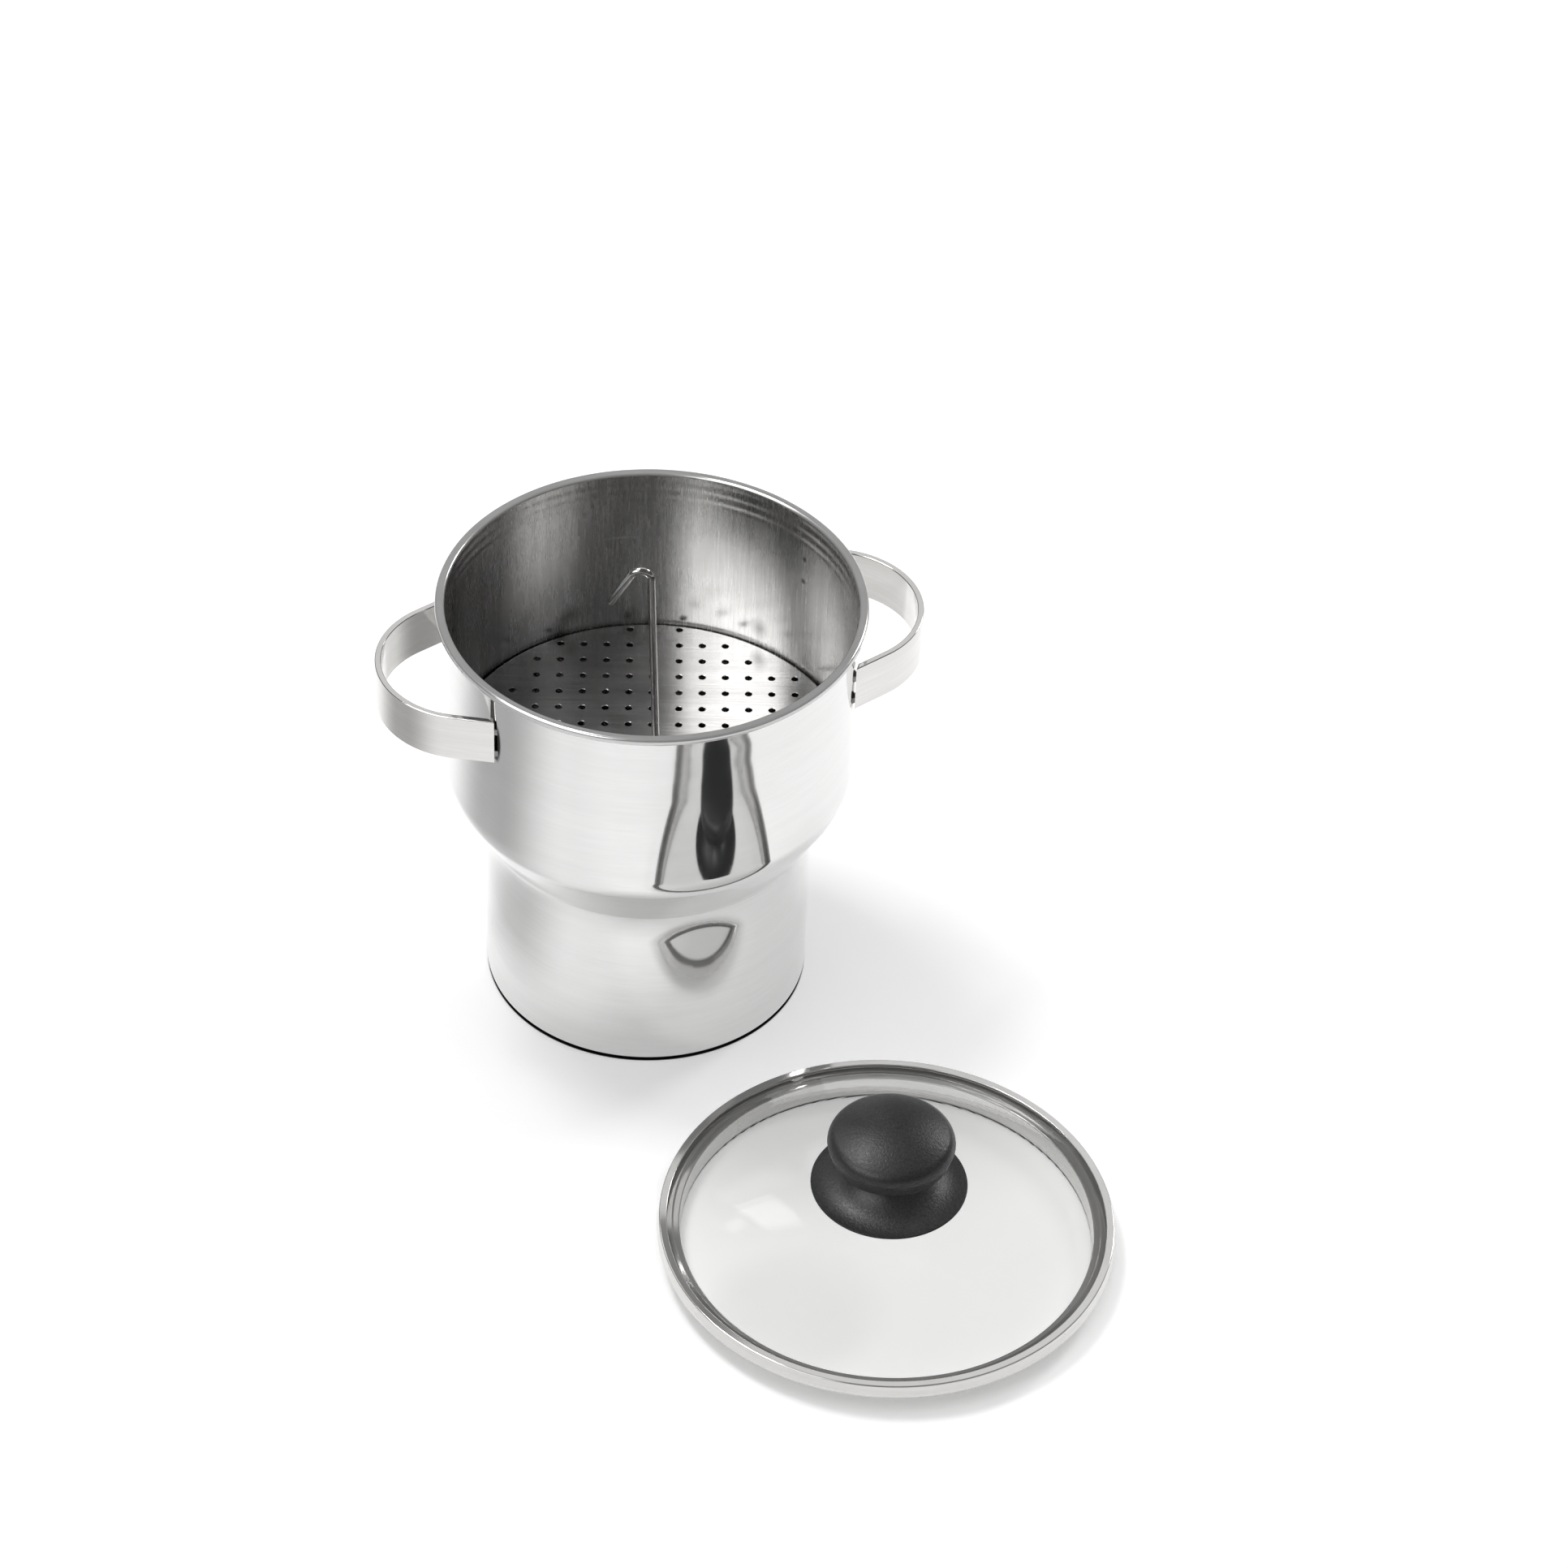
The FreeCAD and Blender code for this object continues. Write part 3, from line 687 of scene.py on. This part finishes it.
knob = {
    "skirt": 30.0, "skirtEdge": 1.2, "skirtRise": 9.6, "shell": 2.4, "flank": (0.30, 0.36),
    "hollow": (0.42, 0.68), "neck": 10.5, "boss": 8.0, "hollowGap": 1.2, "bore": 2.1,
    "cap": 24.4, "ringRise": 9.8, "crownRise": 9.2, "corner": 5.2, "underRise": 3.2,
    "taper": 1.5, "soft": 1.6, "screw": 2.0, "grip": 9.0,
    "edgeRound": 0.4, "edgeBack": 0.25, "edgeUp": 0.75,
}
jointZ = crownZ + knob["skirtRise"]


def skirtMesh():
    edgeZ = domeZ(knob["skirt"])
    bossZ = domeZ(knob["bore"])
    hollowFoot = (knob["skirt"] - knob["shell"], domeZ(knob["skirt"] - knob["shell"]))
    points = [(knob["bore"], bossZ), (knob["bore"], jointZ)]
    flankFoot = (knob["skirt"] - knob["edgeBack"], edgeZ + knob["skirtEdge"])
    edge = knob["edgeRound"]
    points += bowed((knob["neck"], jointZ), flankFoot, knob["flank"], 40)
    points += bend((knob["skirt"] - edge, edgeZ + knob["edgeUp"]), edge, 45, -60, 6)
    points += [hollowFoot]
    hollow = bowed((knob["neck"], bossZ + knob["hollowGap"]), hollowFoot, knob["hollow"])
    points += list(reversed(hollow))[1:]
    points += [(knob["boss"], bossZ + knob["hollowGap"]), (knob["boss"], bossZ)]
    return turned("knobSkirt", supported(points), lidCentre, around=192, crease=45)


def capMesh():
    ringZ = jointZ + knob["ringRise"]
    topZ = ringZ + knob["crownRise"]
    underZ = jointZ + knob["underRise"]
    soft = knob["soft"]
    cornerR = knob["cap"] - knob["corner"]
    slack = knob["crownRise"] - knob["corner"]
    depth = (cornerR ** 2 - slack ** 2) / (2 * slack)
    lean = math.degrees(math.atan2(depth, cornerR))
    underR = knob["cap"] - knob["taper"]
    points = [(0, topZ)]
    points += bend((0, ringZ - depth), knob["crownRise"] + depth, 90, lean, 30)[1:]
    points += bend((cornerR, ringZ), knob["corner"], lean, 0, 16)[1:]
    points += bend((underR - soft, underZ + soft), soft, 0, -90, 8)
    points += bend((knob["neck"] + soft, underZ - soft), soft, 90, 180, 8)
    gripZ = jointZ + knob["grip"]
    points += [(knob["neck"], jointZ), (knob["screw"], jointZ), (knob["screw"], gripZ), (0, gripZ)]
    return turned("knobCap", supported(points, closed=False), lidCentre, closed=True, around=192, crease=45)


piece("knobSkirt", skirtMesh(), "lid", ["knob_skirt"], "knob_black", blackResin)
piece("knobCap", capMesh(), "lid", ["knob_cap"], "knob_black", blackResin)
sealLow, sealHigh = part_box("screw_seal")
sealWide = (sealHigh.x - sealLow.x) / 2 / mm
sealMesh = turned("screwSeal", softened([
    (knob["screw"], sealLow.z / mm, 0.2), (sealWide, sealLow.z / mm, 0.5),
    (sealWide, sealHigh.z / mm, 0.3), (knob["screw"], sealHigh.z / mm, 0.2)]), lidCentre, around=96)
piece("screwSeal", sealMesh, "lid", ["screw_seal"], "seal_rubber", paleSilicone)
print("knob built")


plate = {
    "clearance": 0.8, "sheet": 0.8, "bend": 1.2, "hole": 1.4, "pitchX": 9.3,
    "pitchY": 9.95, "columnX": 0.6, "seam": 1.4, "shiftY": 0.7, "margin": 3.0,
    "leftOut": ((5.5, 5), (4.5, -6)), "lip": 0.16, "lipStep": 0.05, "dip": 0.18,
    "underLip": 0.1, "edgeRound": 0.2,
}
hook = {
    "wire": 1.5, "footX": 2.4, "lean": 2.0, "foot": 4.0, "proud": 15.9, "bend": 4.0,
    "turn": 147.0, "leg": 16.2, "washer": 4.0, "washerThick": 0.8,
    # headed foot: depth below the washer and radius; tip: distance from the end and radius
    "head": ((1.2, 1.9), (1.0, 2.6), (0.25, 2.6)), "tip": ((0.35, 1.5), (0.12, 1.42), (0.0, 1.15)),
}
plateLow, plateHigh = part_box("strainer_plate")
plateRadius = pot["bore"] - plate["clearance"]
plateTopZ = plateHigh.z / mm


def holeCentres():
    centres = []
    reach = plateRadius - plate["margin"]
    rows = int(reach / plate["pitchY"]) + 1
    columns = int(reach / plate["pitchX"]) + 1
    for step in range(-rows, rows):
        row = step + 0.5
        y = row * plate["pitchY"] + plate["shiftY"]
        for column in range(-columns, columns + 1):
            x = plate["columnX"] + column * plate["pitchX"]
            if column > 0:
                x += plate["seam"]
            underWasher = math.hypot(x - hook["footX"], y) < hook["washer"] + 2 * plate["hole"]
            if math.hypot(x, y) > reach or underWasher or (row, column) in plate["leftOut"]:
                continue
            centres.append((x, y))
    return centres


def ringPoints(centre, radius, count, z):
    points = []
    for k in range(count):
        a = 2 * math.pi * k / count
        points.append((centre[0] + radius * math.cos(a), centre[1] + radius * math.sin(a), z))
    return points


def joinRings(bm, rings):
    count = len(rings[0])
    for low, high in zip(rings, rings[1:]):
        for k in range(count):
            n = (k + 1) % count
            face = bm.faces.new((low[k], low[n], high[n], high[k]))
            face.smooth = True


def plateMesh():
    around, small = 288, 28
    flatR = plateRadius - plate["bend"]
    underZ = plateTopZ - plate["sheet"]
    holes = [(c, plate["hole"]) for c in holeCentres()] + [((hook["footX"], 0), hook["wire"] + 0.1)]
    flat = [Vector(p[:2]) for p in ringPoints((0, 0), flatR, around, 0)]
    loops = [list(range(around))]
    for c, r in holes:
        start = len(flat)
        flat += [Vector(p[:2]) for p in ringPoints(c, r + plate["lip"], small, 0)]
        loops.append(list(range(start, start + small)))
    edges = [(loop[k], loop[(k + 1) % len(loop)]) for loop in loops for k in range(len(loop))]
    laid = delaunay_2d_cdt(flat, edges, [], 0, 1e-6)
    flatVerts, flatFaces = laid[0], laid[2]
    centres = [Vector(c) for c, r in holes]
    reach = [r + plate["lip"] for c, r in holes]
    bm = bmesh.new()
    for z in (plateTopZ, underZ):
        level = [bm.verts.new((v.x, v.y, z)) for v in flatVerts]
        for face in flatFaces:
            middle = sum((flatVerts[i] for i in face), Vector((0, 0))) / len(face)
            inHole = any((middle - c).length < r * 0.97 for c, r in zip(centres, reach))
            if not inHole and middle.length < flatR:
                bm.faces.new([level[i] for i in face])
    # rounded lip and wall of each hole
    for c, r in holes:
        rings = []
        for radius, z in (
            (r + plate["lip"], plateTopZ),
            (r + plate["lipStep"], plateTopZ - plate["lipStep"]),
            (r, plateTopZ - plate["dip"]),
            (r, underZ + plate["underLip"]),
            (r + plate["lip"], underZ),
        ):
            rings.append([bm.verts.new(p) for p in ringPoints(c, radius, small, z)])
        joinRings(bm, rings)
    # turned-down edge
    wall = plateRadius - plate["sheet"]
    outline = bend((flatR, plateTopZ - plate["bend"]), plate["bend"], 90, 0, 8)
    soft = plate["edgeRound"]
    outline += bend((plateRadius - soft, plateLow.z / mm + soft), soft, 0, -90, 3)
    outline += bend((wall + soft, plateLow.z / mm + soft), soft, -90, -180, 3)
    inner = plate["bend"] - plate["sheet"]
    outline += bend((wall - inner, underZ - inner), inner, 0, 90, 4)
    rings = [[bm.verts.new(p) for p in ringPoints((0, 0), r, around, z)]
             for r, z in supported(outline, closed=False)]
    joinRings(bm, rings)
    bmesh.ops.remove_doubles(bm, verts=bm.verts, dist=0.002)
    bmesh.ops.recalc_face_normals(bm, faces=bm.faces)
    bmesh.ops.scale(bm, vec=(mm, mm, mm), verts=bm.verts)
    mesh = bpy.data.meshes.new("strainerPlate")
    bm.to_mesh(mesh)
    bm.free()
    print("strainer has", len(holes) - 1, "holes")
    return mesh


def hookMesh():
    footZ = plateTopZ - plate["sheet"] - hook["washerThick"]
    kinkZ = plateTopZ + hook["foot"]
    rise = pot["height"] + hook["proud"] - hook["wire"] - hook["bend"] - kinkZ
    lean = math.radians(-hook["lean"])
    path = []
    for i in range(30):
        path.append((0.0, rise * i / 29))
    for i in range(1, 41):
        t = math.radians(hook["turn"] * i / 40)
        path.append((-hook["bend"] + hook["bend"] * math.cos(t), rise + hook["bend"] * math.sin(t)))
    t = math.radians(hook["turn"])
    end = path[-1]
    for s in (2, 5, 8, 11, 14, *(hook["leg"] - back for back, r in hook["tip"])):
        path.append((end[0] - math.sin(t) * s, end[1] + math.cos(t) * s))
    points = [Vector((0, 0, footZ - kinkZ - depth)) for depth, r in hook["head"]]
    points += [Vector((0, 0, footZ - kinkZ)), Vector((0, 0, -hook["wire"]))]
    radii = [r for depth, r in hook["head"]] + [hook["wire"]] * 2
    c, s = math.cos(lean), math.sin(lean)
    for x, z in path:
        points.append(Vector((x * c + z * s, 0, -x * s + z * c)))
        radii.append(hook["wire"])
    radii[-len(hook["tip"]):] = [r for back, r in hook["tip"]]
    rings = []
    for i, p in enumerate(points):
        before, after = points[max(i - 1, 0)], points[min(i + 1, len(points) - 1)]
        run = (after - before).normalized()
        side = Vector((run.z, 0, -run.x))
        ring = []
        for k in range(28):
            a = 2 * math.pi * k / 28
            q = p + (side * math.cos(a) + Vector((0, 1, 0)) * math.sin(a)) * radii[i]
            ring.append(((q.x + hook["footX"]) * mm, q.y * mm, (q.z + kinkZ) * mm))
        rings.append(ring)
    return lofted("liftHook", rings, 50)


def washerMesh(name, node):
    low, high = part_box(node)
    wide = (high.x - low.x) / 2 / mm
    z0, z1 = low.z / mm, high.z / mm
    corners = [(hook["wire"], z0, 0.1), (wide, z0, 0.15), (wide, z1, 0.3), (hook["wire"], z1, 0.1)]
    return turned(name, softened(corners), (hook["footX"] * mm, 0), around=72)


piece("strainerPlate", plateMesh(), "strainer", ["strainer_plate"], "strainer_steel", plateSteel)
piece("liftHook", hookMesh(), "strainer", ["lift_hook"], "wire_steel", wireSteel)
for name, node in (("hookWasherUpper", "hook_washer_upper"), ("hookWasherLower", "hook_washer_lower")):
    piece(name, washerMesh(name, node), "strainer", [node], "wire_steel", wireSteel)
print("strainer built")


for node, material in (("handle_right_welds", weldSteel), ("handle_left_welds", weldSteel),
                       ("knob_screw", screwSteel), ("screw_washer", screwSteel)):
    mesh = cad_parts[node].data
    mesh.materials.clear()
    mesh.materials.append(material)


studio = {
    "floorSize": 14.0, "floorColour": (0.97, 0.97, 0.97), "glow": 0.27, "world": 0.1, "backdrop": 0.95,
    "contact": 0.0648, "contactSharp": 120.0, "shade": (0.004, 0.004, 0.004), "cloud": 0.985,
    # name, azimuth, elevation, distance, width, height, watts, lights matt things, shows in gloss
    "softboxes": [
        ("fill", -90, 86, 2.6, 3.2, 3.2, 40, True, False),
        ("overheadLeft", 141, 66, 1.7, 0.45, 0.45, 11, True, True),
        ("backRight", 44, 30, 1.9, 0.4, 0.4, 8, True, True),
        ("frontLeft", -145, 44, 1.9, 1.7, 0.9, 18, False, True),
        ("frontRight", -30, 40, 2.2, 0.6, 0.8, 0.25, True, True),
        ("backGlow", 88, 42, 2.2, 2.4, 1.5, 8, False, True),
    ],
    # painted shade to the left of the pot, a grey sheet that only the steel mirrors: middle direction, half
    # spread, near and far radius
    "flag": {"azimuth": 189, "spread": 42, "near": 0.075, "far": 0.75, "dark": 0.56,
             "core": 0.12, "deepen": 0.26, "lift": 0.0004},
}


def paleMaterial(name, tone):
    # floor colour that also glows a little, dimmed by a painted-shade mask from tone(tree, place)
    material, tree, shader = newMaterial(name)
    place = tree.nodes.new("ShaderNodeTexCoord").outputs["Object"]
    cloud = useGroup(tree, smudge, {"Vector": place, "Scale": 3.0, "Sharpness": 1.0})
    low = tuple(c * studio["cloud"] for c in studio["floorColour"])
    colour = blendColour(tree, cloud["Mask"], low, studio["floorColour"])
    colour = blendColour(tree, tone(tree, place), studio["shade"], colour)
    feed(tree, shader, {"Base Color": colour, "Roughness": 0.8, "Specular IOR Level": 0.0,
                        "Emission Color": colour, "Emission Strength": studio["glow"]})
    return material


def contactTone(tree, place):
    # no light reaches the floor under the pot's rounded base
    away = useGroup(tree, spot, {"Vector": place, "Centre": (0, 0, 0), "Radius": studio["contact"]})["Mask"]
    return maths(tree, "SUBTRACT", 1.0, maths(tree, "MULTIPLY", away, studio["contactSharp"], clamp=True))


# the sheet's painted shade, stored per point as tone
def shadeSheetTone(tree, place):
    return add(tree, "ShaderNodeAttribute", attribute_name="tone").outputs["Fac"]


def buildFloor():
    mesh = bpy.data.meshes.new("floor")
    half = studio["floorSize"] / 2
    corners = [(-half, -half, 0), (half, -half, 0), (half, half, 0), (-half, half, 0)]
    mesh.from_pydata(corners, [], [(0, 1, 2, 3)])
    floor = bpy.data.objects.new("floor", mesh)
    scene.collection.objects.link(floor)
    mesh.materials.append(paleMaterial("paleFloor", contactTone))


def buildShadeSheet():
    # painted shade: lies on the floor and shows only as a dark side in the polished steel, standing for the
    # floor's shadow left of the pot
    flag = studio["flag"]
    around, out = 40, 24
    verts, tones, faces = [], [], []
    for i in range(around + 1):
        side = 2 * i / around - 1
        a = math.radians(flag["azimuth"] + side * flag["spread"])
        fade = min(1, max(0, (abs(side) - flag["core"]) / (1 - flag["core"])))
        across = 0.5 + 0.5 * math.cos(math.pi * fade)
        for j in range(out + 1):
            r = flag["near"] * (flag["far"] / flag["near"]) ** (j / out)
            deep = min(1, 0.5 + (r - flag["near"]) / flag["deepen"])
            ends = min(1, j / 3) * min(1, (out - j) / 5)
            verts.append((r * math.cos(a), r * math.sin(a), flag["lift"]))
            tones.append(1 - flag["dark"] * across * deep * ends)
    for i in range(around):
        for j in range(out):
            k = i * (out + 1) + j
            faces.append((k, k + out + 1, k + out + 2, k + 1))
    mesh = bpy.data.meshes.new("flag")
    mesh.from_pydata(verts, [], faces)
    outward(mesh)
    mesh.attributes.new("tone", "FLOAT", "POINT").data.foreach_set("value", tones)
    mesh.materials.append(paleMaterial("reflectedShadeGrey", shadeSheetTone))
    obj = bpy.data.objects.new("flag", mesh)
    scene.collection.objects.link(obj)
    obj.visible_camera = obj.visible_diffuse = obj.visible_shadow = obj.visible_transmission = False


def buildLights():
    target = Vector((0.04, -0.07, 0.08))
    # the glass mirrors none of the softboxes
    unlit = bpy.data.collections.new("unlitGlass")
    unlit.objects.link(bpy.data.objects["lidGlass"])
    unlit.collection_objects[0].light_linking.link_state = "EXCLUDE"
    # the broad glow behind is for the narrow bright edges only
    edges = bpy.data.collections.new("brightEdges")
    for label in ("lidRing", "liftHook", "strainerPlate", "handleLeft", "handleRight"):
        edges.objects.link(bpy.data.objects[label])
    # and the knob throws no shadow from above
    clear = bpy.data.collections.new("clearKnob")
    for label in ("knobCap", "knobSkirt", "screwSeal"):
        clear.objects.link(bpy.data.objects[label])
    for node in ("knob_screw", "screw_washer"):
        clear.objects.link(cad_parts[node])
    for member in clear.collection_objects:
        member.light_linking.link_state = "EXCLUDE"
    for name, azimuth, elevation, distance, width, height, watts, matt, gloss in studio["softboxes"]:
        lamp = bpy.data.lights.new(name, "AREA")
        lamp.shape = "RECTANGLE"
        lamp.size, lamp.size_y, lamp.energy = width, height, watts
        a, e = math.radians(azimuth), math.radians(elevation)
        way = Vector((math.cos(a) * math.cos(e), math.sin(a) * math.cos(e), math.sin(e)))
        obj = bpy.data.objects.new(name, lamp)
        obj.location = target + way * distance
        obj.rotation_mode = "QUATERNION"
        obj.rotation_quaternion = way.to_track_quat("Z", "Y")
        obj.visible_diffuse, obj.visible_glossy = matt, gloss
        obj.light_linking.receiver_collection = edges if name == "backGlow" else unlit
        if name in ("fill", "overheadLeft"):
            obj.light_linking.blocker_collection = clear
        scene.collection.objects.link(obj)
    world = bpy.data.worlds.new("studio")
    world.use_nodes = True
    # a dim room for the steel to mirror, a white one behind everything
    tree = world.node_tree
    seen = add(tree, "ShaderNodeLightPath").outputs["Is Camera Ray"]
    strength = spread(tree, seen, studio["world"], studio["backdrop"])
    tree.nodes["Background"].inputs["Color"].default_value = (1, 1, 1, 1)
    tree.links.new(strength, tree.nodes["Background"].inputs["Strength"])
    scene.world = world


def buildCamera():
    view = {
        "place": (0.0, -1.552331, 1.43208), "lens": 118.616,
        "yaw": 0.034508, "pitch": -0.712111, "roll": -0.039969,
    }
    yaw, pitch, roll = view["yaw"], view["pitch"], view["roll"]
    ahead = Vector((math.sin(yaw) * math.cos(pitch), math.cos(yaw) * math.cos(pitch), math.sin(pitch)))
    level = Vector((math.cos(yaw), -math.sin(yaw), 0))
    sunk = ahead.cross(level)
    right = level * math.cos(roll) + sunk * math.sin(roll)
    down = -level * math.sin(roll) + sunk * math.cos(roll)
    data = bpy.data.cameras.new("camera")
    data.lens, data.sensor_width = view["lens"], 36.0
    data.clip_start, data.clip_end = 0.05, 50.0
    camera = bpy.data.objects.new("camera", data)
    basis = Matrix((right, -down, -ahead)).transposed().to_4x4()
    camera.matrix_world = Matrix.Translation(view["place"]) @ basis
    scene.collection.objects.link(camera)
    scene.camera = camera


buildFloor()
buildShadeSheet()
buildLights()
buildCamera()
scene.view_settings.view_transform = "Standard"
scene.view_settings.look = "None"
print("studio built")
